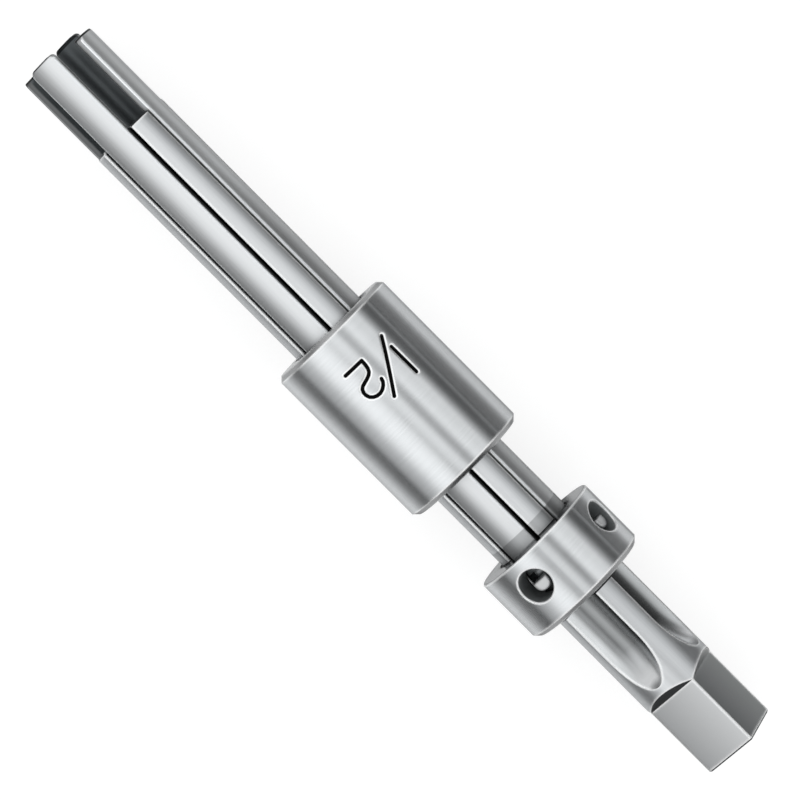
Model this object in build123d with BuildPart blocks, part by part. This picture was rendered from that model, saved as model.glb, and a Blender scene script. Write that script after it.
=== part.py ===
from build123d import *
import os

# Tap extractor for a 1/2 inch, four-flute tap: a steel holder with four grooves and a square drive, four
# fingers that lie in the grooves, a collar that carries the fingers and a sleeve that keeps them in.
# Millimetres. The tool lies along X with the finger tips towards +X, resting on collar and sleeve at Z = 0.
# A station is a distance along the tool from the end face of the square, and a turn is an angle about its
# axis, in degrees from the top towards -Y.

# Holder: a turned bar.
bar_diameter = 10.2
holder_length = 100.3
nose_chamfer = 0.2
end_edge = 0.2

# Holder: the square drive, four flats that leave its corners on the bar's surface. The square is milled in a
# set-up of its own, a few degrees out of line with the grooves.
square_size = 7.22
square_length = 9.85
square_turn = -5.4
shoulder_length = 1.15

# Holder: the grooves, milled with a round-edged cutter that runs out to the surface.
groove_radius = 2.9
groove_depth = 2.1
groove_end = 18.2
cutter_radius = 10.5

# Fingers: strips with an outer face like the bar's, two flat sides and a round inner face like the groove's.
# They are ground to length one by one, so they reach out past the nose by slightly different lengths.
finger_reaches = [12.15, 11.35, 12.35, 12.05]
finger_side_gap = 0.6
finger_floor_gap = 0.1
finger_drop = 0.1
finger_edge = 0.12
finger_corner = 0.8

# Fingers: the tang, the narrowed rear end bent outwards into the collar's hole.
tang_width = 2.1
tang_inset = 0.25
tang_height = 2.4
tang_rounding = 0.9
tang_bend_radius = 0.3
tang_setback = 0.52
tang_edge = 0.15
neck_length = 0.5

# Collar: a ring with a radial hole for each tang. The tangs have play in the holes, and the collar stands
# turned a little to one side of them.
collar_diameter = 16.6
collar_length = 8.8
collar_station = 25.3
collar_turn = -3.4
collar_front_chamfer = 0.15
collar_rear_chamfer = 0.6
hole_diameter = 4.2
hole_setback = 3.6
hole_edge = 0.12

# Sleeve: a plain tube.
sleeve_diameter = 16.6
sleeve_length = 22.6
collar_sleeve_gap = 11.1
sleeve_chamfer = 0.6
bore_chamfer = 0.3

# The sliding fit of collar and sleeve on the bar, on the radius.
running_clearance = 0.05

# The tool is round where it lies, so it rests rolled: the upper finger leans this far towards +Y.
lying_roll = 22.0

# How far a cut runs past the surface that it opens.
overrun = 1.0

# Sizes that follow from those above.
finger_turns = [quarter - lying_roll for quarter in (0, 90, 180, 270)]
bar_radius = bar_diameter / 2
core_radius = bar_radius - groove_depth
tip_station = holder_length + max(finger_reaches)
axis_height = max(collar_diameter, sleeve_diameter) / 2
tool_axis = Axis((0, 0, axis_height), (1, 0, 0))
bore_radius = bar_radius + running_clearance
groove_centre = core_radius + groove_radius
opening_height = (bar_radius**2 + groove_centre**2 - groove_radius**2) / (2 * groove_centre)
opening_width = 2 * (bar_radius**2 - opening_height**2) ** 0.5
finger_width = opening_width - 2 * finger_side_gap
finger_outer = bar_radius - finger_drop
finger_inner = core_radius + finger_floor_gap
collar_front = collar_station + collar_length
hole_station = collar_front - hole_setback
sleeve_station = collar_front + collar_sleeve_gap
tang_station = hole_station - tang_setback
tang_front = finger_outer - tang_inset
tang_back = finger_inner + tang_inset
tang_thickness = tang_front - tang_back
bend_station = tang_station + tang_thickness / 2 + tang_bend_radius
neck_station = bend_station + neck_length


def at(station):
    """X of a station."""
    return station - tip_station / 2


def across(station, turn=0):
    """Plane square to the tool's axis, its Y axis pointing out through the finger at this turn."""
    side = Vector(0, 1, 0).rotate(Axis.X, turn)
    return Plane(origin=(at(station), 0, axis_height), x_dir=side, z_dir=(1, 0, 0))


def along(turn=0):
    """Plane through the tool's axis, X along the tool, its Y axis pointing out through the finger at this turn."""
    normal = Vector(0, -1, 0).rotate(Axis.X, turn)
    return Plane(origin=(0, 0, axis_height), x_dir=(1, 0, 0), z_dir=normal)


def outwards(station, turn):
    """Plane on the tool's axis that faces out through the finger at this turn."""
    direction = Vector(0, 0, 1).rotate(Axis.X, turn)
    return Plane(origin=(at(station), 0, axis_height), x_dir=(1, 0, 0), z_dir=direction)


def turned_ring(start, end, radius, rear_chamfer, front_chamfer):
    """Half section of a ring that runs on the bar, chamfered outside and in its bore."""
    with BuildSketch(along()) as section:
        with BuildLine():
            Polyline(
                (at(start), bore_radius + bore_chamfer),
                (at(start), radius - rear_chamfer),
                (at(start + rear_chamfer), radius),
                (at(end - front_chamfer), radius),
                (at(end), radius - front_chamfer),
                (at(end), bore_radius + bore_chamfer),
                (at(end - bore_chamfer), bore_radius),
                (at(start + bore_chamfer), bore_radius),
                close=True,
            )
        make_face()
    return section.sketch


def finger(reach):
    """A finger that stands at the top and reaches this far past the nose."""
    with BuildPart() as strip:
        # The strip fits the groove and has rounded corners at the tip.
        with BuildSketch(across(neck_station)):
            with Locations((0, groove_centre)):
                Circle(groove_centre - finger_inner)
            Circle(finger_outer, mode=Mode.INTERSECT)
            Rectangle(finger_width, 2 * finger_outer, mode=Mode.INTERSECT)
        extrude(amount=holder_length + reach - neck_station)
        tip_corners = strip.faces().sort_by(Axis.X)[-1].edges().filter_by(Axis.Z)
        fillet(tip_corners, finger_corner)
        long_faces = strip.faces().filter_by(GeomType.CYLINDER).sort_by(SortBy.AREA)[-2:]
        outline = long_faces[0].edges() + long_faces[1].edges()
        fillet(outline.sort_by(Axis.X)[2:], finger_edge)

        # The tang is flat in front and round behind, swept back from the strip and up into the collar.
        with BuildSketch(across(neck_station)) as tang:
            with Locations((0, tang_back)):
                Rectangle(tang_width, tang_thickness, align=(Align.CENTER, Align.MIN))
            rounding = min(tang_rounding, 0.45 * tang_width, 0.9 * tang_thickness)
            fillet(tang.vertices().group_by(Axis.Y)[0], rounding)
        tang_middle = (tang_front + tang_back) / 2
        bend_middle = tang_front + tang_bend_radius
        with BuildLine(along()) as route:
            Line((at(neck_station), tang_middle), (at(bend_station), tang_middle))
            JernArc((at(bend_station), tang_middle), (-1, 0), bend_middle - tang_middle, -90)
            Line((at(tang_station), bend_middle), (at(tang_station), bar_radius + tang_height))
        sweep(tang.sketch, path=route.line)
        chamfer(strip.faces().sort_by(Axis.Z)[-1].edges(), tang_edge)
    return strip.part


os.makedirs("parts", exist_ok=True)

# The holder is turned, with a small chamfer at the nose.
with BuildPart() as holder:
    with BuildSketch(along()):
        with BuildLine():
            Polyline(
                (at(0), 0),
                (at(0), bar_radius),
                (at(holder_length - nose_chamfer), bar_radius),
                (at(holder_length), bar_radius - nose_chamfer),
                (at(holder_length), 0),
                close=True,
            )
        make_face()
    revolve(axis=tool_axis)

    # Each groove runs straight back from the nose, and then the cutter's own round leads it out.
    cutter_height = core_radius + cutter_radius
    for turn in finger_turns:
        groove_plane = across(groove_end, turn)
        with BuildSketch(groove_plane) as groove:
            with Locations((0, groove_centre)):
                Circle(groove_radius)
        extrude(amount=holder_length - groove_end, mode=Mode.SUBTRACT)
        cutter_axis = Axis(groove_plane.from_local_coords((0, cutter_height, 0)), groove_plane.x_dir)
        revolve(groove.sketch, axis=cutter_axis, revolution_arc=90, mode=Mode.SUBTRACT)

    # The four flats of the square are broken at the end face by a small 45 degree edge. At their other end they
    # rise in a slope, cut here to twice its height to pass the bar's surface.
    flat_height = square_size / 2
    slope_height = 2 * (bar_radius - flat_height)
    slope_length = 2 * shoulder_length
    for turn in finger_turns:
        with BuildSketch(along(turn + square_turn)):
            with BuildLine():
                Polyline(
                    (at(-overrun), flat_height - end_edge - overrun),
                    (at(end_edge), flat_height),
                    (at(square_length), flat_height),
                    (at(square_length + slope_length), flat_height + slope_height),
                    (at(-overrun), flat_height + slope_height),
                    close=True,
                )
            make_face()
        extrude(amount=bar_radius, both=True, mode=Mode.SUBTRACT)
holder.part.label = "holder"
export_step(holder.part, "parts/holder.step")

# The four fingers. The first is the upper one, and they follow each other by quarter turns.
for number, (turn, reach) in enumerate(zip(finger_turns, finger_reaches), start=1):
    with BuildPart() as turned_finger:
        add(finger(reach).rotate(tool_axis, turn))
    turned_finger.part.label = f"finger_{number}"
    export_step(turned_finger.part, f"parts/finger_{number}.step")

# The collar, with a hole for each tang.
with BuildPart() as collar:
    ring = turned_ring(
        collar_station, collar_front, collar_diameter / 2, collar_rear_chamfer, collar_front_chamfer
    )
    revolve(ring, axis=tool_axis)
    for turn in finger_turns:
        with BuildSketch(outwards(hole_station, turn + collar_turn)):
            Circle(hole_diameter / 2)
        extrude(amount=collar_diameter, mode=Mode.SUBTRACT)
    outside = collar.faces().filter_by(GeomType.CYLINDER).sort_by(SortBy.AREA)[-1]
    hole_rims = [edge for wire in outside.inner_wires() for edge in wire.edges()]
    chamfer(hole_rims, hole_edge)
collar.part.label = "collar"
export_step(collar.part, "parts/collar.step")

# The sleeve.
with BuildPart() as sleeve:
    ring = turned_ring(
        sleeve_station, sleeve_station + sleeve_length, sleeve_diameter / 2, sleeve_chamfer, sleeve_chamfer
    )
    revolve(ring, axis=tool_axis)
sleeve.part.label = "sleeve"
export_step(sleeve.part, "parts/sleeve.step")
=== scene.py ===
import math

import bpy
import numpy as np
from mathutils import Matrix, Vector


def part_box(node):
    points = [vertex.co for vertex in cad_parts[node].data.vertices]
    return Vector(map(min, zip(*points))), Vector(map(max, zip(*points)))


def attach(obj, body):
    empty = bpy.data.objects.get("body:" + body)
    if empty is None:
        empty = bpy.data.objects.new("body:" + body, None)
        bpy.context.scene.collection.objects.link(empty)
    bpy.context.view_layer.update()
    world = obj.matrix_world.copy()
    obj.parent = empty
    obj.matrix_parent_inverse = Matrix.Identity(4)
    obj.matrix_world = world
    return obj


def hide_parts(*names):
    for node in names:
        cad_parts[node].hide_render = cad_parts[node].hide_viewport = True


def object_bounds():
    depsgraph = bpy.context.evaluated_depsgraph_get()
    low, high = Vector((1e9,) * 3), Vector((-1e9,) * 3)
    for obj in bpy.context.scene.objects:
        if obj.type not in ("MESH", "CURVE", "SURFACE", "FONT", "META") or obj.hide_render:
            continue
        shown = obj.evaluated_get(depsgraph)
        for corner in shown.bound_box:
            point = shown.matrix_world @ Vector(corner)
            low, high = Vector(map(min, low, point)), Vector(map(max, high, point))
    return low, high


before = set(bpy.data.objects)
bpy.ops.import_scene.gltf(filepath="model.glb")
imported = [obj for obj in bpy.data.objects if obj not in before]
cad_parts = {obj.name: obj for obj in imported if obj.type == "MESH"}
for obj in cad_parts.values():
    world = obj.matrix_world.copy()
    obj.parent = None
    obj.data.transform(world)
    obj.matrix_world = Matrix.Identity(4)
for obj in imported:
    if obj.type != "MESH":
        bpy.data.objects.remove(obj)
cad_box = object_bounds()
scene = bpy.context.scene
scene.view_settings.view_transform = "Standard"

# The camera.
# It looks down on the tool, which crosses the picture from the tips at the upper left to the square at the
# lower right. A long lens keeps the tool's sides nearly parallel.
view_lean = math.radians(3.8)
view_tilt = math.radians(3.2)
picture_turn = math.radians(45.1)
camera_distance = 0.5
picture_width = 0.09246
film_width = 36
nearest_seen = 0.05
axis_height = (cad_box[1].z - cad_box[0].z) / 2
picture_centre = Vector((-0.000175, -0.00004, axis_height))
tool_direction = Vector((1, 0, 0))
upright = Vector((0, -math.sin(view_lean), math.cos(view_lean)))
beside = tool_direction.cross(upright)
towards_camera = upright * math.cos(view_tilt) + tool_direction * math.sin(view_tilt)
tool_in_picture = tool_direction * math.cos(view_tilt) - upright * math.sin(view_tilt)
right = -math.cos(picture_turn) * tool_in_picture + math.sin(picture_turn) * beside
above = math.sin(picture_turn) * tool_in_picture + math.cos(picture_turn) * beside
camera = bpy.data.objects.new("camera", bpy.data.cameras.new("camera"))
scene.collection.objects.link(camera)
camera.data.sensor_width = film_width
camera.data.lens = film_width * camera_distance / picture_width
camera.data.clip_start = nearest_seen
camera.matrix_world = Matrix.Translation(picture_centre + towards_camera * camera_distance) @ Matrix(
    (right, above, towards_camera)
).transposed().to_4x4()
scene.camera = camera


def add(tree, kind, settings, inputs):
    """Adds a node with its settings. Each input is joined to a socket or set to a value."""
    added = tree.nodes.new(kind)
    for name, value in settings.items():
        setattr(added, name, value)
    for name, value in inputs.items():
        if isinstance(value, bpy.types.NodeSocket):
            tree.links.new(value, added.inputs[name])
        else:
            added.inputs[name].default_value = value
    return added


def new_material(name):
    """An empty node material, and its node tree."""
    material = bpy.data.materials.new(name)
    material.use_nodes = True
    material.node_tree.nodes.clear()
    return material, material.node_tree


# The floor.
# A sheet of white satin laminate with a metal core. The camera sees it white with the tool's soft shadow, and
# the round steel on it mirrors the dimmer light that it throws back at a low angle.
floor_reach = 3.0
floor_colour = (0.93, 0.93, 0.93, 1)
floor_metal = 0.75
floor_roughness = 0.15
floor_low_angle = (0.2, 0.2, 0.2, 1)
floor_white = 1.18
shadow_share = 0.35
floor_mesh = bpy.data.meshes.new("floor")
corners = [(-floor_reach, -floor_reach, 0), (floor_reach, -floor_reach, 0)]
corners += [(floor_reach, floor_reach, 0), (-floor_reach, floor_reach, 0)]
floor_mesh.from_pydata(corners, [], [(0, 1, 2, 3)])
floor = bpy.data.objects.new("floor", floor_mesh)
scene.collection.objects.link(floor)
laminate, tree = new_material("floor_laminate")
mirrored = add(
    tree,
    "ShaderNodeBsdfPrincipled",
    {},
    {
        "Base Color": floor_colour,
        "Metallic": floor_metal,
        "Roughness": floor_roughness,
        "Specular Tint": floor_low_angle,
    },
)
shaded = add(tree, "ShaderNodeBsdfDiffuse", {}, {"Color": floor_colour})
white = add(tree, "ShaderNodeEmission", {}, {"Strength": floor_white})
paper = add(
    tree,
    "ShaderNodeMixShader",
    {},
    {"Fac": 1 - shadow_share, 1: shaded.outputs["BSDF"], 2: white.outputs["Emission"]},
)
seen = add(tree, "ShaderNodeLightPath", {}, {}).outputs["Is Camera Ray"]
surface = add(
    tree,
    "ShaderNodeMixShader",
    {},
    {"Fac": seen, 1: mirrored.outputs["BSDF"], 2: paper.outputs["Shader"]},
)
add(tree, "ShaderNodeOutputMaterial", {}, {"Surface": surface.outputs["Shader"]})
floor_mesh.materials.append(laminate)

# The light.
# A wide soft light hangs over the tool and ends in dark curtains at both sides, which turn to bands on round
# steel. Each row gives an angle about the tool, from straight up towards -Y, and the light from there: over
# the tips, over the sleeve's rear end, where a thin bar crosses it, and over the square, where a second bar
# does. The light from beyond the tool's ends is plain.
light_rows = [
    (-180, 0.20, 0.20, 0.20),
    (-95, 0.20, 0.16, 0.14),
    (-90, 0.16, 0.13, 0.11),
    (-84, 0.30, 0.25, 0.18),
    (-80, 0.46, 0.40, 0.32),
    (-76, 0.57, 0.52, 0.45),
    (-68, 0.67, 0.64, 0.60),
    (-60, 0.84, 0.82, 0.80),
    (-52, 1.15, 1.13, 1.10),
    (-44, 1.33, 1.32, 1.30),
    (-36, 1.39, 1.38, 1.36),
    (-28, 1.35, 1.32, 1.28),
    (-20, 1.25, 1.22, 1.00),
    (-12, 1.12, 1.02, 0.27),
    (-4, 1.21, 1.19, 0.80),
    (4, 1.18, 1.16, 1.05),
    (12, 0.75, 0.42, 0.55),
    (16, 0.86, 0.22, 0.32),
    (20, 0.96, 0.42, 0.45),
    (28, 1.26, 1.05, 1.24),
    (36, 1.15, 0.95, 1.15),
    (44, 1.02, 0.92, 1.02),
    (52, 1.02, 1.00, 1.02),
    (60, 0.52, 0.50, 0.50),
    (68, 0.18, 0.14, 0.14),
    (76, 0.12, 0.10, 0.10),
    (81, 0.14, 0.10, 0.12),
    (84, 0.50, 0.25, 0.60),
    (87, 0.12, 0.09, 0.09),
    (95, 0.12, 0.09, 0.08),
    (180, 0.20, 0.20, 0.20),
]
light_tint = (0.985, 1.0, 1.005)
first_change = (-0.04, -0.07)
second_change = (-0.082, -0.1)
end_light = (1, 1, 1, 1)
side_reach = 0.3
end_start = 0.55
backdrop_white = (1, 1, 1, 1)


def share(tree, value, start, end):
    """How far a value is on its way from start to end, from 0 to 1."""
    inputs = {"Value": value, "From Min": start, "From Max": end}
    return add(tree, "ShaderNodeMapRange", {}, inputs).outputs["Result"]


def mixed(tree, amount, first, second):
    """A colour between the first and the second."""
    inputs = {"Factor": amount, "A": first, "B": second}
    return add(tree, "ShaderNodeMix", {"data_type": "RGBA"}, inputs).outputs["Result"]


def toned(tree, amount, rows, tint):
    """A tinted grey that changes with an amount from 0 to 1, by rows of amount and grey."""
    ramp = add(tree, "ShaderNodeValToRGB", {}, {"Fac": amount})
    elements = ramp.color_ramp.elements
    while len(elements) < len(rows):
        elements.new(1)
    for element, (position, grey) in zip(elements, rows):
        element.position = position
    for element, (position, grey) in zip(elements, rows):
        element.color = (grey * tint[0], grey * tint[1], grey * tint[2], 1)
    return ramp.outputs["Color"]


def turn_about_axis(tree, sideways, upwards):
    """The turn about the tool's axis, in radians from straight up towards -Y."""
    to_side = add(tree, "ShaderNodeMath", {"operation": "MULTIPLY"}, {0: sideways, 1: -1})
    inputs = {0: to_side.outputs["Value"], 1: upwards}
    return add(tree, "ShaderNodeMath", {"operation": "ARCTAN2"}, inputs).outputs["Value"]


world = bpy.data.worlds.new("studio")
scene.world = world
world.use_nodes = True
tree = world.node_tree
direction = add(tree, "ShaderNodeTexCoord", {}, {})
axes = add(tree, "ShaderNodeSeparateXYZ", {}, {"Vector": direction.outputs["Generated"]})
turn = share(tree, turn_about_axis(tree, axes.outputs["Y"], axes.outputs["Z"]), -math.pi, math.pi)
over_tips, over_sleeve, over_square = [
    toned(tree, turn, [((row[0] + 180) / 360, row[column]) for row in light_rows], light_tint)
    for column in (1, 2, 3)
]
curtains = over_tips
for change, beyond in ((first_change, over_sleeve), (second_change, over_square)):
    curtains = mixed(tree, share(tree, axes.outputs["X"], *change), curtains, beyond)
lengthwise = add(tree, "ShaderNodeMath", {"operation": "ABSOLUTE"}, {0: axes.outputs["X"]})
to_end = add(
    tree,
    "ShaderNodeMapRange",
    {"interpolation_type": "SMOOTHSTEP"},
    {"Value": lengthwise.outputs["Value"], "From Min": side_reach, "From Max": end_start},
)
all_round = mixed(tree, to_end.outputs["Result"], curtains, end_light)
seen = add(tree, "ShaderNodeLightPath", {}, {}).outputs["Is Camera Ray"]
backdrop = mixed(tree, seen, all_round, backdrop_white)
tree.links.new(backdrop, tree.nodes["Background"].inputs["Color"])

# The holder.
# One hardened steel bar, turned and ground to 10.2 mm. Its four grooves and the square are milled, and
# painted shade darkens the grooves where the fingers cover them.
collar_low, collar_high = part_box("collar")
lying_roll = 22.0
square_turn = -5.4
groove_rim = 0.00506
groove_half = 0.0025
top_groove = (-55, 12)
run_out_start = -0.039
run_out_end = -0.0428
square_start = -0.0452
flat_half = 0.0036
top_flat = (-71, 16)
shoulder_start = -0.0471
shoulder_rim = 0.00488
groove_shade_start = -0.0312
groove_shade_end = -0.0282
nose_face = 0.04393
collar_shade_end = collar_high.x + 0.0018
collar_shadow_lines = [(-0.0005, 0), (0, 0.0001)]
# The strip along the top of the tool that is painted bright as a highlight: its reach, rise and strength.
top_highlight_reach = 0.0026
top_highlight_rise = 0.001
top_highlight_change = (-0.032, -0.026)
top_highlight_rear = 0.5

# The holder's colours: ground surface with a painted highlight along its top, milled grooves painted
# lighter and darker across them as shade and highlight, flats painted as lit and shaded, worn edges
# painted bright as a highlight, and painted shade and shadow in the covered grooves and at the collar.
ground_light = (0.52, 0.53, 0.54, 1)
ground_dark = (0.44, 0.45, 0.46, 1)
top_highlight = (0.93, 0.94, 0.95, 1)
steel_tint = (0.97, 0.99, 1.0)
# Painted shade and highlight across the grooves: rows of place across a groove and grey, for the top groove
# and the rest.
top_groove_shading_rows = [
    (0.04, 0.95),
    (0.12, 0.6),
    (0.2, 0.42),
    (0.32, 0.21),
    (0.5, 0.32),
    (0.68, 0.3),
    (0.86, 0.15),
    (0.95, 0.04),
]
groove_shading_rows = [(0.1, 0.45), (0.4, 0.28), (0.6, 0.07), (0.72, 0.14), (0.84, 0.34), (0.95, 0.5)]
milled_dark = (0.2, 0.205, 0.21, 1)
milled_clouds = 0.15
run_out = (0.62, 0.63, 0.64, 1)
lit_flat_dark = (0.36, 0.365, 0.37, 1)
lit_flat_light = (0.64, 0.645, 0.65, 1)
shaded_flat_dark = (0.18, 0.185, 0.19, 1)
shaded_flat_light = (0.36, 0.37, 0.37, 1)
shaded_colour = (0.05, 0.053, 0.055, 1)
end_face_colour = (0.34, 0.345, 0.35, 1)
nose_colour = (0.06, 0.063, 0.065, 1)
covered_groove_shade = (0.1, 0.103, 0.105, 1)
collar_shadow_colour = (0.03, 0.031, 0.032, 1)
collar_shade_strength = 0.38
wear_and_highlight = (0.96, 0.965, 0.965, 1)
bar_limb_tint = (0.72, 0.72, 0.72, 1)
worn_roughness = 0.35
ground_roughness = 0.32
milled_roughness = 0.27
square_roughness = 0.38
bar_edge_radius = 0.00055
lengthwise_marks = (150, 5000, 5000)
lengthwise_depth = 0.000002
holder_clouds = 260

# How far a surface faces along the tool where one of these faces begins and where it is reached.
shoulder_facing = (-0.3, -0.4)
end_facing = (-0.9, -0.95)
nose_facing = (0.5, 0.6)

# How soft borders on the steel are: lengths in metres, then turns in radians.
nose_blur = 0.00002
rim_blur = 0.00004
thin_blur = 0.00005
wide_blur = 0.0001
groove_blur = 0.05
flat_blur = 0.02
near_side_blur = 0.1

# What the textures and the rounded edges are made with.
noise_range = (0.3, 0.7)
mark_detail = 4
mark_roughness = 0.7
cloud_detail = 3
bevel_samples = 6
edge_agreement = (0.997, 0.95)


def new_group(name, inputs, outputs):
    """A shader node group with these named inputs and outputs, and its input and output nodes."""
    group = bpy.data.node_groups.new(name, "ShaderNodeTree")
    for label, kind in inputs:
        group.interface.new_socket(label, in_out="INPUT", socket_type=kind)
    for label in outputs:
        kind = "NodeSocketVector" if label == "Normal" else "NodeSocketFloat"
        group.interface.new_socket(label, in_out="OUTPUT", socket_type=kind)
    return group, group.nodes.new("NodeGroupInput"), group.nodes.new("NodeGroupOutput")


def place(tree, group, inputs):
    """A node that uses a group, with these inputs."""
    return add(tree, "ShaderNodeGroup", {"node_tree": group}, inputs)


def between(tree, value, low, high):
    """A value from 0 to 1, stretched from low to high."""
    inputs = {"Value": value, "To Min": low, "To Max": high}
    return add(tree, "ShaderNodeMapRange", {}, inputs).outputs["Result"]


def both(tree, first, second):
    """The product of two shares."""
    return add(tree, "ShaderNodeMath", {"operation": "MULTIPLY"}, {0: first, 1: second}).outputs["Value"]


def outside_of(tree, amount):
    """What a share leaves of one."""
    return share(tree, amount, 1, 0)


def ring(tree, value, start, end, blur):
    """Where a value lies between start and end, with soft borders outside them."""
    return both(tree, share(tree, value, start - blur, start), share(tree, value, end + blur, end))


def sector(tree, turn, degrees, blur):
    """A sector about the tool's axis between two turns in degrees, with soft borders."""
    first, last = (math.radians(limit) for limit in degrees)
    return ring(tree, turn, first, last, blur)


def from_middle(tree, radius, turn, first):
    """The distance sideways from the middle of the nearest of four cuts a quarter turn apart, the first of
    which stands at this turn in degrees: the radius times the sine of the turn left over."""
    past = add(tree, "ShaderNodeMath", {"operation": "SUBTRACT"}, {0: turn, 1: math.radians(first)})
    quarter = {0: past.outputs["Value"], 1: math.pi / 4, 2: -math.pi / 4}
    left_over = add(tree, "ShaderNodeMath", {"operation": "WRAP"}, quarter)
    sine = add(tree, "ShaderNodeMath", {"operation": "SINE"}, {0: left_over.outputs["Value"]})
    return both(tree, radius, sine.outputs["Value"])


def show_steel(tree, colour, roughness, marks, edges, depth, limb_colour):
    """Ends a steel material. Its tool marks are this deep, and its mirror fades to this tint at the limb."""
    bump = add(
        tree,
        "ShaderNodeBump",
        {},
        {"Height": marks.outputs["Marks"], "Normal": edges.outputs["Normal"], "Distance": depth},
    )
    shader = add(
        tree,
        "ShaderNodeBsdfPrincipled",
        {},
        {
            "Base Color": colour,
            "Metallic": 1,
            "Roughness": roughness,
            "Specular Tint": limb_colour,
            "Normal": bump.outputs["Normal"],
        },
    )
    add(tree, "ShaderNodeOutputMaterial", {}, {"Surface": shader.outputs["BSDF"]})


# Where a point is on the tool: its distance along it, its distance from its axis, its turn about the axis
# from straight up towards -Y, how far it is into the strip along the top that gets a painted highlight,
# strongest in front of the collar, how far it faces along the tool, and whether it faces the side towards +Y.
tool_position, _, result = new_group(
    "tool_position", [], ["Along", "Radius", "Turn", "Top Highlight", "Endways", "Near Side"]
)
on_tool = add(tool_position, "ShaderNodeTexCoord", {}, {})
from_axis = add(
    tool_position,
    "ShaderNodeVectorMath",
    {"operation": "SUBTRACT"},
    {0: on_tool.outputs["Object"], 1: (0, 0, axis_height)},
)
squashed = add(
    tool_position,
    "ShaderNodeVectorMath",
    {"operation": "MULTIPLY"},
    {0: from_axis.outputs["Vector"], 1: (0, 1, 1)},
)
distance = add(
    tool_position, "ShaderNodeVectorMath", {"operation": "LENGTH"}, {0: squashed.outputs["Vector"]}
)
coordinates = add(tool_position, "ShaderNodeSeparateXYZ", {}, {"Vector": from_axis.outputs["Vector"]})
facing = add(tool_position, "ShaderNodeSeparateXYZ", {}, {"Vector": on_tool.outputs["Normal"]})
aside = add(tool_position, "ShaderNodeMath", {"operation": "ABSOLUTE"}, {0: coordinates.outputs["Y"]})
in_strip = share(tool_position, aside.outputs["Value"], top_highlight_reach, 0)
above_axis = share(tool_position, coordinates.outputs["Z"], 0, top_highlight_rise)
on_way = share(tool_position, coordinates.outputs["X"], *top_highlight_change)
on_way = between(tool_position, on_way, top_highlight_rear, 1)
measured = {
    "Along": coordinates.outputs["X"],
    "Radius": distance.outputs["Value"],
    "Turn": turn_about_axis(tool_position, coordinates.outputs["Y"], coordinates.outputs["Z"]),
    "Top Highlight": both(tool_position, both(tool_position, in_strip, above_axis), on_way),
    "Endways": facing.outputs["X"],
    "Near Side": share(tool_position, facing.outputs["Y"], -near_side_blur, near_side_blur),
}
for label, socket in measured.items():
    tool_position.links.new(socket, result.inputs[label])

# Fine lines left by a tool or a wheel, drawn out by a scale for each axis, and the soft clouds of handled
# steel.
tool_marks, given, result = new_group(
    "tool_marks",
    [("Lines", "NodeSocketVector"), ("Clouds", "NodeSocketFloat")],
    ["Marks", "Clouding"],
)
on_tool = add(tool_marks, "ShaderNodeTexCoord", {}, {})
drawn_out = add(
    tool_marks,
    "ShaderNodeVectorMath",
    {"operation": "MULTIPLY"},
    {0: on_tool.outputs["Object"], 1: given.outputs["Lines"]},
)
lines = add(
    tool_marks,
    "ShaderNodeTexNoise",
    {},
    {"Vector": drawn_out.outputs["Vector"], "Scale": 1, "Detail": mark_detail, "Roughness": mark_roughness},
)
clouds = add(
    tool_marks,
    "ShaderNodeTexNoise",
    {},
    {"Vector": on_tool.outputs["Object"], "Scale": given.outputs["Clouds"], "Detail": cloud_detail},
)
for label, noise in (("Marks", lines), ("Clouding", clouds)):
    tool_marks.links.new(share(tool_marks, noise.outputs["Fac"], *noise_range), result.inputs[label])

# The rounding that wear and tumbling give to an edge, and a mask of that edge.
rounded_edges, given, result = new_group(
    "rounded_edges", [("Radius", "NodeSocketFloat")], ["Edge", "Normal"]
)
rounding = add(
    rounded_edges, "ShaderNodeBevel", {"samples": bevel_samples}, {"Radius": given.outputs["Radius"]}
)
surface = add(rounded_edges, "ShaderNodeNewGeometry", {}, {})
agreement = add(
    rounded_edges,
    "ShaderNodeVectorMath",
    {"operation": "DOT_PRODUCT"},
    {0: rounding.outputs["Normal"], 1: surface.outputs["Normal"]},
)
edge = share(rounded_edges, agreement.outputs["Value"], *edge_agreement)
rounded_edges.links.new(edge, result.inputs["Edge"])
rounded_edges.links.new(rounding.outputs["Normal"], result.inputs["Normal"])

# The holder's finish, from its grooves and flats to wear, end faces, and the painted shade, shadow and
# highlights on it.
holder_finish, tree = new_material("holder_finish")
where = place(tree, tool_position, {})
along = where.outputs["Along"]
radius = where.outputs["Radius"]
turn = where.outputs["Turn"]
endways = where.outputs["Endways"]
marks = place(tree, tool_marks, {"Lines": lengthwise_marks, "Clouds": holder_clouds})
edges = place(tree, rounded_edges, {"Radius": bar_edge_radius})
in_groove = share(tree, radius, groove_rim, groove_rim - rim_blur)
in_square = both(tree, in_groove, share(tree, along, square_start + thin_blur, square_start))
# Painted shade: the grooves are painted dark where the fingers cover them.
covered = share(tree, along, groove_shade_start, groove_shade_end)
behind_nose = share(tree, along, nose_face, nose_face - nose_blur)
shaded_groove = both(tree, both(tree, in_groove, covered), behind_nose)
across_groove = share(tree, from_middle(tree, radius, turn, -lying_roll), -groove_half, groove_half)
in_top_groove = sector(tree, turn, top_groove, groove_blur)
# Painted shade and highlight: each groove is painted lighter and darker across its width, the top groove by
# rows of its own.
milled_and_shaded = toned(tree, across_groove, groove_shading_rows, steel_tint)
milled_and_shaded = mixed(tree, in_top_groove, milled_and_shaded, toned(tree, across_groove, top_groove_shading_rows, steel_tint))
milled_and_shaded = mixed(tree, share(tree, along, run_out_start, run_out_end), milled_and_shaded, run_out)
milled_and_shaded = mixed(tree, between(tree, marks.outputs["Clouding"], milled_clouds, 0), milled_and_shaded, milled_dark)
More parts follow.
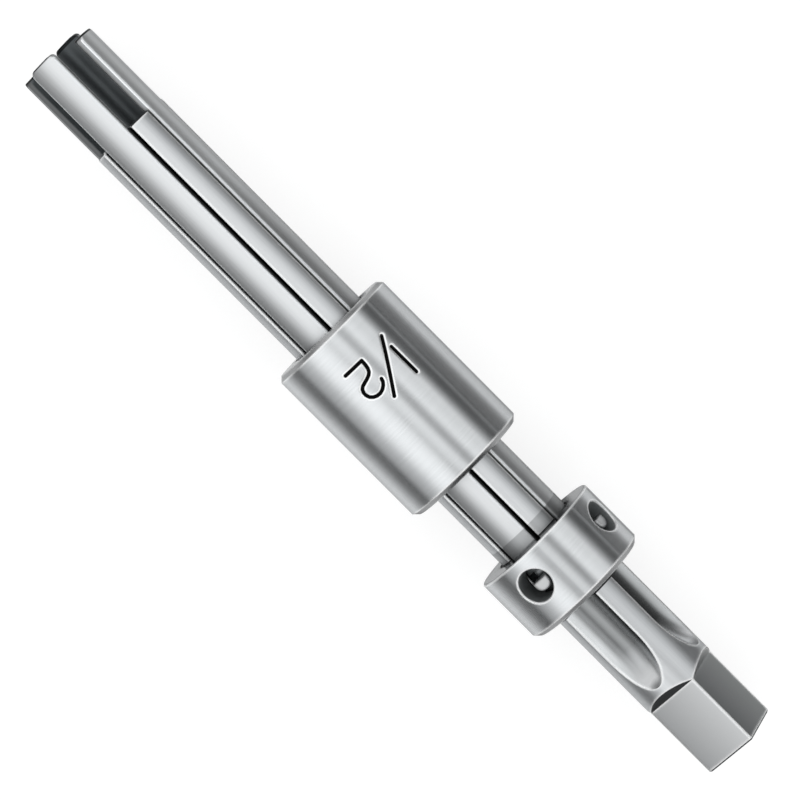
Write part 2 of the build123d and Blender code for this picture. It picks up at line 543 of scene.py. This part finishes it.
# Painted shade and highlight on the square: the flats facing +Y are painted lighter than the others, and each
# flat grows lighter across its width.
across_flat = share(tree, from_middle(tree, radius, turn, square_turn - lying_roll), -flat_half, flat_half)
lit_flat = mixed(tree, across_flat, lit_flat_dark, lit_flat_light)
shaded_flat = mixed(tree, across_flat, shaded_flat_dark, shaded_flat_light)
ground = mixed(tree, marks.outputs["Marks"], ground_dark, ground_light)
# Painted highlight: a bright strip along the top of the bar.
ground = mixed(tree, where.outputs["Top Highlight"], ground, top_highlight)
colour = mixed(tree, in_groove, ground, milled_and_shaded)
colour = mixed(tree, in_square, colour, mixed(tree, where.outputs["Near Side"], shaded_flat, lit_flat))
colour = mixed(tree, shaded_groove, colour, covered_groove_shade)
past_shoulder = share(tree, along, shoulder_start - wide_blur, shoulder_start)
off_top = outside_of(tree, sector(tree, turn, top_flat, flat_blur))
bare_shoulder = both(tree, both(tree, past_shoulder, off_top), in_square)
without_highlight = both(tree, bare_shoulder, share(tree, radius, shoulder_rim, shoulder_rim - thin_blur))
# Worn edges, painted bright as a highlight.
colour = mixed(tree, both(tree, edges.outputs["Edge"], outside_of(tree, without_highlight)), colour, wear_and_highlight)
on_slope = both(tree, share(tree, endways, *shoulder_facing), outside_of(tree, bare_shoulder))
colour = mixed(tree, on_slope, colour, shaded_colour)
colour = mixed(tree, share(tree, endways, *end_facing), colour, end_face_colour)
colour = mixed(tree, share(tree, endways, *nose_facing), colour, nose_colour)
# Painted shade on the bar in front of the collar, and painted shadow in thin lines at both its faces.
collar_shade = ring(tree, along, collar_high.x, collar_shade_end, wide_blur)
colour = mixed(tree, between(tree, collar_shade, 0, collar_shade_strength), colour, collar_shadow_colour)
for face, (behind, before) in zip((collar_low.x, collar_high.x), collar_shadow_lines):
    colour = mixed(tree, ring(tree, along, face + behind, face + before, thin_blur), colour, collar_shadow_colour)
roughness = between(tree, in_groove, ground_roughness, milled_roughness)
roughness = between(tree, in_square, roughness, square_roughness)
roughness = between(tree, edges.outputs["Edge"], roughness, worn_roughness)
show_steel(tree, colour, roughness, marks, edges, lengthwise_depth, bar_limb_tint)
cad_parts["holder"].material_slots[0].material = holder_finish

# The fingers.
# Hardened steel strips, ground bright along the outer face and left dark from hardening inside, and darker
# at the tips. The sides are brighter towards the outer edges, whose wear is painted white as a highlight; the
# fourth finger's side and rim are painted darker as shade.
finger_face = 0.00496
finger_side = 0.00424
side_blur = 0.00008
rim_highlight_start = 0.00479
rim_highlight_end = 0.00483
finger_edge_radius = 0.00055
finger_clouds = 120
tip_darks = {1: 0.0002, 2: 0.0003, 3: 0.0005, 4: 0.0003}
tip_colour = (0.02, 0.022, 0.023, 1)
tip_without_highlight = 0.0005
tang_start = 0.0054
tang_colour = (0.56, 0.565, 0.57, 1)
neck_colour = (0.3, 0.31, 0.315, 1)
low_shade_turn = (math.radians(-15), math.radians(-50))
low_shade_change = (0.03, 0.014)
low_shade_strength = 0.32
edge_highlight_turn = (44, 62)
edge_highlight_blur = 0.21
edge_highlight_change = (0.022, 0.034)
edge_highlight_strength = 0.6
finger_light = (0.46, 0.465, 0.47, 1)
finger_dark = (0.4, 0.405, 0.41, 1)
finger_highlight = (0.82, 0.83, 0.84, 1)
# Painted shade: the fourth finger's side and rim are darker than the others'; the other rims are painted
# bright as a highlight.
side_colours = {1: 0.36, 2: 0.38, 3: 0.3, 4: 0.13}
rim_colours = {1: 0.96, 2: 0.96, 3: 0.96, 4: 0.4}
scale_light = (0.12, 0.13, 0.135, 1)
scale_and_shade_dark = (0.08, 0.088, 0.092, 1)
side_roughness = 0.42
face_roughness = 0.38
everywhere = (1, 1, 1, 1)
for number in (1, 2, 3, 4):
    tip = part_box(f"finger_{number}")[1].x
    finger_finish, tree = new_material(f"finger_{number}_finish")
    where = place(tree, tool_position, {})
    along = where.outputs["Along"]
    radius = where.outputs["Radius"]
    turn = where.outputs["Turn"]
    marks = place(tree, tool_marks, {"Lines": lengthwise_marks, "Clouds": finger_clouds})
    edges = place(tree, rounded_edges, {"Radius": finger_edge_radius})
    side_colour = [side_colours[number] * tint for tint in steel_tint] + [1]
    rim_colour = [rim_colours[number] * tint for tint in steel_tint] + [1]

    # The masks: outer face, brighter sides, worn edges with their painted highlight, and tang.
    on_face = share(tree, radius, finger_face - rim_blur, finger_face)
    up_side = share(tree, radius, finger_side, finger_side + side_blur)
    in_rim = both(tree, share(tree, radius, rim_highlight_start, rim_highlight_end), outside_of(tree, on_face))
    outside = share(tree, radius, rim_highlight_start - wide_blur, rim_highlight_start)
    highlight_span = ring(tree, along, collar_shade_end, tip - tip_without_highlight, wide_blur)
    on_tang = share(tree, radius, tang_start, tang_start + wide_blur)
    may_highlight = mixed(tree, on_tang, highlight_span, everywhere)
    worn_and_lit = both(tree, both(tree, edges.outputs["Edge"], outside), may_highlight)

    # Painted shade and highlight on the ground face, set by its turn about the tool: darker along its lower
    # edge and brighter along the upper one, towards the tips.
    ground = mixed(tree, marks.outputs["Marks"], finger_dark, finger_light)
    # Painted highlight: the bright strip along the top, as on the holder.
    ground = mixed(tree, where.outputs["Top Highlight"], ground, finger_highlight)
    low_edge_shade = both(tree, share(tree, turn, *low_shade_turn), share(tree, along, *low_shade_change))
    ground = mixed(tree, between(tree, low_edge_shade, 0, low_shade_strength), ground, scale_and_shade_dark)
    edge_highlight = sector(tree, turn, edge_highlight_turn, edge_highlight_blur)
    edge_highlight = both(tree, edge_highlight, share(tree, along, *edge_highlight_change))
    ground = mixed(tree, between(tree, edge_highlight, 0, edge_highlight_strength), ground, finger_highlight)
    hardened = mixed(tree, marks.outputs["Clouding"], scale_and_shade_dark, scale_light)

    # The colours, from the sides outwards, then the tip, the painted shade in front of the collar, and what
    # the collar covers.
    colour = mixed(tree, up_side, hardened, side_colour)
    colour = mixed(tree, on_face, colour, ground)
    # Worn edges and rims, painted bright as a highlight, or darker as shade on the fourth finger.
    colour = mixed(tree, worn_and_lit, colour, rim_colour)
    colour = mixed(tree, both(tree, in_rim, highlight_span), colour, rim_colour)
    tip_dark = tip - tip_darks[number]
    colour = mixed(tree, share(tree, along, tip_dark, tip_dark + wide_blur), colour, tip_colour)
    # Painted shade on the finger in front of the collar.
    collar_shade = share(tree, along, collar_shade_end + wide_blur, collar_shade_end)
    colour = mixed(tree, between(tree, collar_shade, 0, collar_shade_strength), colour, collar_shadow_colour)
    covered = share(tree, along, collar_high.x + wide_blur + thin_blur, collar_high.x + wide_blur)
    colour = mixed(tree, both(tree, covered, outside_of(tree, on_tang)), colour, neck_colour)
    colour = mixed(tree, both(tree, covered, on_tang), colour, tang_colour)
    roughness = between(tree, on_face, side_roughness, face_roughness)
    roughness = between(tree, worn_and_lit, roughness, worn_roughness)
    show_steel(tree, colour, roughness, marks, edges, lengthwise_depth, bar_limb_tint)
    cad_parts[f"finger_{number}"].material_slots[0].material = finger_finish

# The collar.
# A ring turned from steel bar, with fine lines round it from the lathe. The walls of its four drilled holes
# and its faced front have stayed dull. Its faces are painted dark round the bore as shadow, and its worn
# edges bright as a highlight.
hole_wall_inner = 0.0054
hole_wall_outer = 0.00807
hole_rear = 0.0008
hole_front = 0.0004
faced_depth = 0.00003
faced_blur = 0.00002
rear_chamfer = 0.0006
turned_light = (0.65, 0.66, 0.67, 1)
turned_dark = (0.6, 0.61, 0.62, 1)
drilled_light = (0.4, 0.42, 0.425, 1)
drilled_dark = (0.34, 0.355, 0.36, 1)
faced_colour = (0.16, 0.165, 0.17, 1)
chamfer_colour = (0.4, 0.405, 0.41, 1)
bore_shadow_colour = (0.02, 0.021, 0.022, 1)
bore_shade = (0.0061, 0.0056)
limb_tint = (0.6, 0.6, 0.6, 1)
edge_radius = 0.0004
ring_marks = (5000, 120, 120)
ring_depth = 0.000001
collar_clouds = 220
collar_roughness = (0.15, 0.19)
hole_roughness = 0.6
collar_finish, tree = new_material("collar_finish")
where = place(tree, tool_position, {})
along = where.outputs["Along"]
radius = where.outputs["Radius"]
marks = place(tree, tool_marks, {"Lines": ring_marks, "Clouds": collar_clouds})
edges = place(tree, rounded_edges, {"Radius": edge_radius})
in_ring = ring(tree, along, collar_low.x + hole_rear, collar_high.x - hole_front, wide_blur)
in_hole = both(tree, ring(tree, radius, hole_wall_inner, hole_wall_outer, thin_blur), in_ring)
on_rear = share(tree, along, collar_low.x + rear_chamfer, collar_low.x + rear_chamfer - thin_blur)
faced_start = collar_high.x - faced_depth
on_front = share(tree, along, faced_start, faced_start + faced_blur)
# Painted shadow: the end faces darken towards the bore, where the bar goes in.
bore_shadow = both(tree, share(tree, radius, *bore_shade), outside_of(tree, in_ring))
turned = mixed(tree, marks.outputs["Marks"], turned_dark, turned_light)
drilled = mixed(tree, marks.outputs["Clouding"], drilled_dark, drilled_light)
colour = mixed(tree, in_hole, turned, drilled)
colour = mixed(tree, on_rear, colour, chamfer_colour)
# Worn edges, painted bright as a highlight.
colour = mixed(tree, edges.outputs["Edge"], colour, wear_and_highlight)
colour = mixed(tree, on_front, colour, faced_colour)
colour = mixed(tree, bore_shadow, colour, bore_shadow_colour)
roughness = between(tree, marks.outputs["Clouding"], *collar_roughness)
roughness = between(tree, in_hole, roughness, hole_roughness)
roughness = between(tree, edges.outputs["Edge"], roughness, worn_roughness)
show_steel(tree, colour, roughness, marks, edges, ring_depth, limb_tint)
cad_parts["collar"].material_slots[0].material = collar_finish

# The sleeve.
# A tube turned from the same bar as the collar. The tap size 1/2 is engraved in it with a round-nosed cutter,
# in single strokes that are filled with black.
sleeve_low, sleeve_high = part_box("sleeve")
sleeve_radius = (sleeve_high.z - sleeve_low.z) / 2
sleeve_bore = 0.00515
end_chamfer = 0.0006
bore_chamfer = 0.0003
sleeve_clouds = 180
sleeve_roughness = (0.14, 0.18)
mark_station = 0.004
mark_turn = 8.73
mark_depth = 0.00016
mark_reach = 0.0034
mark_turns = 30
stroke_width = 0.00044
stroke_wall = 0.0001
fill_rim = (0.2, 0.25)
burr_highlight_rim = (0.42, 0.34)
fill_colour = (0.005, 0.005, 0.005, 1)
fill_roughness = 0.6

# The mesh: its steps along and round the sleeve, how far from the strokes its ends count as being, and the
# angle, in degrees, from which an edge is sharp.
fine_step = 0.00006
fine_turn = 0.4
coarse_turn = 3
turn_samples = 20001
unmarked = 0.01
sharp_angle = 40

# The strokes, in millimetres: across the mark, then up it.
mark_strokes = [
    [(-3.10, -1.24), (-3.12, 2.80)],
    [(-3.18, -2.90), (0.82, 2.95)],
    [
        (0.45, 0.50),
        (0.56, 0.85),
        (0.86, 1.20),
        (1.24, 1.45),
        (1.71, 1.59),
        (2.20, 1.55),
        (2.62, 1.36),
        (2.95, 1.04),
        (3.10, 0.64),
        (3.09, 0.23),
        (2.91, -0.14),
        (2.59, -0.37),
        (2.15, -0.50),
        (1.65, -0.63),
        (1.22, -0.80),
        (0.92, -1.04),
        (0.73, -1.41),
        (0.64, -1.88),
        (0.60, -2.54),
        (3.21, -2.59),
    ],
]
millimetres = 1000


def distance_to_strokes(across, up, strokes):
    """For each point, its distance to the nearest straight piece of the strokes: from the point to its foot
    on the piece, which stays between the piece's two ends."""
    nearest = np.full(across.shape, np.inf)
    for stroke in strokes:
        for (start_x, start_y), (end_x, end_y) in zip(stroke, stroke[1:]):
            run_x = (end_x - start_x) / millimetres
            run_y = (end_y - start_y) / millimetres
            from_x = across - start_x / millimetres
            from_y = up - start_y / millimetres
            foot = np.clip((from_x * run_x + from_y * run_y) / (run_x**2 + run_y**2), 0, 1)
            nearest = np.minimum(nearest, np.hypot(from_x - foot * run_x, from_y - foot * run_y))
    return nearest


def graded_turns(middle, reach, fine, coarse):
    """Angles once round, in degrees, whose steps are fine within reach of the middle and grow smoothly to
    coarse: the steps are laid one after the other along the sum of their inverse."""
    angles = np.linspace(middle - 180, middle + 180, turn_samples)
    off_middle = np.abs(angles - middle) / reach
    steps = coarse + (fine - coarse) / (1 + off_middle**6)
    laid = np.cumsum(1 / steps)
    laid = (laid - laid[0]) / (laid[-1] - laid[0])
    count = int(round(360 * np.mean(1 / steps)))
    return np.interp(np.arange(count) / count, laid, angles)


turns = np.radians(graded_turns(mark_turn, mark_turns, fine_turn, coarse_turn))
fine_stations = np.arange(mark_station - mark_reach, mark_station + mark_reach, fine_step)
outer = np.concatenate(([sleeve_low.x + end_chamfer], fine_stations, [sleeve_high.x - end_chamfer]))
stations = np.concatenate(
    (
        outer,
        [sleeve_high.x, sleeve_high.x, sleeve_high.x - bore_chamfer],
        [sleeve_low.x + bore_chamfer, sleeve_low.x, sleeve_low.x],
    )
)
radii = np.concatenate(
    (
        np.full(len(outer), sleeve_radius),
        [sleeve_radius - end_chamfer, sleeve_bore + bore_chamfer, sleeve_bore],
        [sleeve_bore, sleeve_bore + bore_chamfer, sleeve_radius - end_chamfer],
    )
)
station_grid, turn_grid = np.meshgrid(stations, turns, indexing="ij")
radius_grid = np.repeat(radii[:, None], len(turns), axis=1)
reading = sleeve_radius * (math.radians(mark_turn) - turn_grid)
gap = distance_to_strokes(reading, mark_station - station_grid, mark_strokes)
gap[len(outer):] = unmarked
wall = np.clip((stroke_width / 2 + stroke_wall / 2 - gap) / stroke_wall, 0, 1)
radius_grid -= mark_depth * wall**2 * (3 - 2 * wall)
points = np.stack(
    (station_grid, -radius_grid * np.sin(turn_grid), axis_height + radius_grid * np.cos(turn_grid)), axis=-1
)
width = len(turns)
row = np.arange(len(stations))[:, None]
column = np.arange(width)[None, :]
next_row = (row + 1) % len(stations)
next_column = (column + 1) % width
faces = np.stack(
    (
        row * width + column,
        row * width + next_column,
        next_row * width + next_column,
        next_row * width + column,
    ),
    axis=-1,
)
sleeve_mesh = bpy.data.meshes.new("engraved_sleeve")
sleeve_mesh.from_pydata(points.reshape(-1, 3).tolist(), [], faces.reshape(-1, 4).tolist())
sleeve_mesh.shade_smooth()
sleeve_mesh.set_sharp_from_angle(angle=math.radians(sharp_angle))
stroke_gap = sleeve_mesh.attributes.new("stroke_gap", "FLOAT", "POINT")
stroke_gap.data.foreach_set("value", gap.ravel() * millimetres)
sleeve_mesh.update()
engraved_sleeve = bpy.data.objects.new("engraved_sleeve", sleeve_mesh)
scene.collection.objects.link(engraved_sleeve)

# The sleeve's finish. The black filling ends at the fill rim, and a painted highlight stands for the
# engraving's burr shining round it.
sleeve_finish, tree = new_material("sleeve_finish")
where = place(tree, tool_position, {})
marks = place(tree, tool_marks, {"Lines": ring_marks, "Clouds": sleeve_clouds})
edges = place(tree, rounded_edges, {"Radius": edge_radius})
to_stroke = add(tree, "ShaderNodeAttribute", {"attribute_name": "stroke_gap"}, {}).outputs["Fac"]
past_fill = share(tree, to_stroke, *fill_rim)
filled = outside_of(tree, past_fill)
burr_highlight = both(tree, share(tree, to_stroke, *burr_highlight_rim), past_fill)
turned_part = ring(
    tree, where.outputs["Along"], sleeve_low.x + end_chamfer, sleeve_high.x - end_chamfer, thin_blur
)
on_ends = outside_of(tree, turned_part)
# Painted shadow: the end faces darken towards the bore, where the bar goes in.
bore_shadow = both(tree, share(tree, where.outputs["Radius"], *bore_shade), on_ends)
turned = mixed(tree, marks.outputs["Marks"], turned_dark, turned_light)
colour = mixed(tree, on_ends, turned, chamfer_colour)
# Worn edges, painted bright as a highlight.
colour = mixed(tree, edges.outputs["Edge"], colour, wear_and_highlight)
colour = mixed(tree, bore_shadow, colour, bore_shadow_colour)
colour = mixed(tree, burr_highlight, colour, wear_and_highlight)
colour = mixed(tree, filled, colour, fill_colour)
roughness = between(tree, marks.outputs["Clouding"], *sleeve_roughness)
roughness = between(tree, filled, roughness, fill_roughness)
show_steel(tree, colour, roughness, marks, edges, ring_depth, limb_tint)
sleeve_mesh.materials.append(sleeve_finish)
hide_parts("sleeve")
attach(engraved_sleeve, "sleeve")
